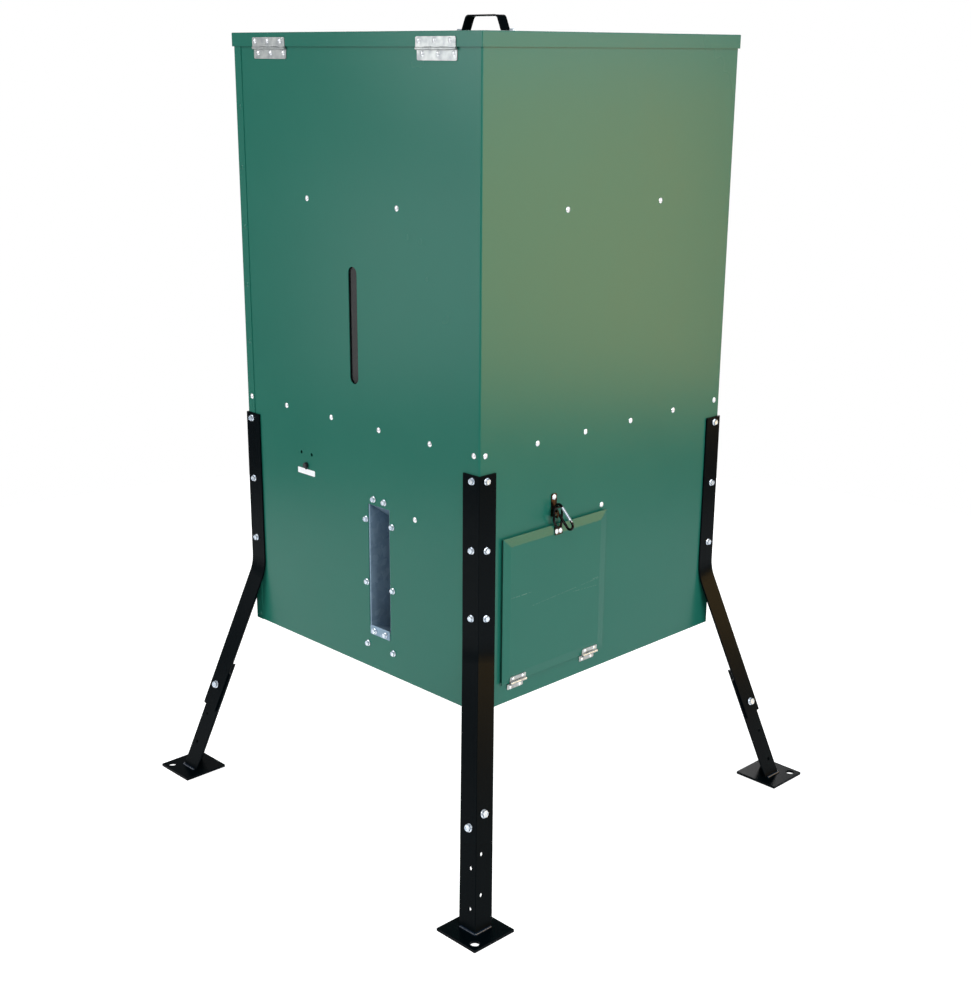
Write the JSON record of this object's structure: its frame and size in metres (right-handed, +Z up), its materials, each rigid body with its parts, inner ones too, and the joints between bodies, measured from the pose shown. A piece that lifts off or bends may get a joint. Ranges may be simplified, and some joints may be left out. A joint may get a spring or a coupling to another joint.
{
  "type": "gravity game feeder",
  "caption": "Tall square sheet-steel hopper on splayed adjustable legs, with a hinged lid and an access door, that throws game feed out of one side by a motor-driven impeller.",
  "frame": {"origin": "on the ground, at the centre of the square that the four feet stand on", "axes": "+Z up; -Y out of the front, the side with the chute, the sight slot and the lid's hinges; +X out of the right side, the one with the access door"},
  "size_m": [0.8972, 0.8972, 1.4221],
  "materials": {
    "green_powder": "semi-gloss green powder coat over steel sheet",
    "black_powder": "semi-gloss black powder coat over steel angle",
    "rivet_steel": "bright zinc-plated steel",
    "zinc_plate": "bright zinc plate",
    "galvanised_sheet": "galvanised steel sheet, fine spangle",
    "latch_steel": "plated steel, slightly dull",
    "clear_sheet": "clear polycarbonate strip",
    "foam": "closed-cell foam",
    "impeller_steel": "plain steel",
    "motor_case": "plated steel can",
    "battery_case": "moulded plastic case",
    "timer_plastic": "moulded plastic",
    "display_lens": "screen lens",
    "button_plastic": "moulded plastic",
    "socket_plastic": "moulded plastic",
    "cap_rubber": "moulded rubber"
  },
  "bodies": {
    "body": {"front_shell": "green_powder", "rear_shell": "green_powder", "seam_rivets": "green_powder", "base_pan": "green_powder", "funnel_front": "green_powder", "funnel_right": "green_powder", "funnel_back": "green_powder", "funnel_left": "green_powder", "upper_leg_front_right": "black_powder", "upper_leg_rear_right": "black_powder", "upper_leg_rear_left": "black_powder", "upper_leg_front_left": "black_powder", "lower_leg_front_right": "black_powder", "lower_leg_rear_right": "black_powder", "lower_leg_rear_left": "black_powder", "lower_leg_front_left": "black_powder", "foot_plates": "black_powder", "body_rivets": "rivet_steel", "lid_hinge_lower": "rivet_steel", "lid_hinge_pins": "rivet_steel", "door_hinge_lower": "rivet_steel", "door_hinge_pins": "rivet_steel", "chute_bolts": "zinc_plate", "leg_bolts": "zinc_plate", "adjust_bolts": "zinc_plate", "inner_screws": "zinc_plate", "corner_braces": "galvanised_sheet", "chute_left": "galvanised_sheet", "chute_right": "galvanised_sheet", "chute_scroll": "galvanised_sheet", "chute_hood": "galvanised_sheet", "battery_tray": "galvanised_sheet", "control_bracket": "galvanised_sheet", "body_eye": "latch_steel", "sight_window": "clear_sheet", "window_tape": "foam", "motor": "motor_case", "battery": "battery_case", "timer_box": "timer_plastic", "timer_cover": "timer_plastic", "timer_display": "display_lens", "solar_socket": "socket_plastic", "socket_cap": "cap_rubber"},
    "lid": {"lid_pan": "green_powder", "lid_handle": "black_powder", "handle_bolts": "zinc_plate", "lid_rivets": "rivet_steel", "lid_hinge_upper": "rivet_steel"},
    "door": {"door_panel": "green_powder", "door_gasket": "foam", "door_rivets": "rivet_steel", "door_hinge_upper": "rivet_steel", "door_eye": "latch_steel"},
    "hook": {"snap_hook": "latch_steel"},
    "gate": {"hook_gate": "zinc_plate"},
    "impeller": {"impeller": "impeller_steel", "motor_shaft": "impeller_steel"},
    "button_1": {"timer_button_1": "button_plastic"},
    "button_2": {"timer_button_2": "button_plastic"},
    "button_3": {"timer_button_3": "button_plastic"}
  },
  "joints": [
    {"name": "lid_hinge", "type": "hinge", "parent": "body", "child": "lid", "pos_m": [0, -0.30875, 1.366], "axis": [1, 0, 0], "range_deg": [0, 165]},
    {"name": "door_hinge", "type": "hinge", "parent": "body", "child": "door", "pos_m": [0.31388, -0.13, 0.35723], "axis": [0, 1, 0], "range_deg": [0, 180]},
    {"name": "hook_swing", "type": "hinge", "parent": "door", "child": "hook", "pos_m": [0.3158, -0.133, 0.644], "axis": [0, 1, 0], "range_deg": [-86, 26]},
    {"name": "hook_gate_hinge", "type": "hinge", "parent": "hook", "child": "gate", "pos_m": [0.34562, -0.133, 0.62521], "axis": [0, -1, 0], "range_deg": [0, 18], "stiffness_Nm_per_rad": 0.02, "springref_deg": -9.74},
    {"name": "impeller_spin", "type": "hinge", "parent": "body", "child": "impeller", "pos_m": [0.0607, -0.165, 0.44083], "axis": [1, 0, 0], "continuous": true},
    {"name": "timer_button_1_press", "type": "slide", "parent": "body", "child": "button_1", "axis": [-0.896, 0.444, 0], "range_m": [0, 0.0012], "stiffness_N_per_m": 300},
    {"name": "timer_button_2_press", "type": "slide", "parent": "body", "child": "button_2", "axis": [-0.896, 0.444, 0], "range_m": [0, 0.0012], "stiffness_N_per_m": 300},
    {"name": "timer_button_3_press", "type": "slide", "parent": "body", "child": "button_3", "axis": [-0.896, 0.444, 0], "range_m": [0, 0.0012], "stiffness_N_per_m": 300}
  ]
}
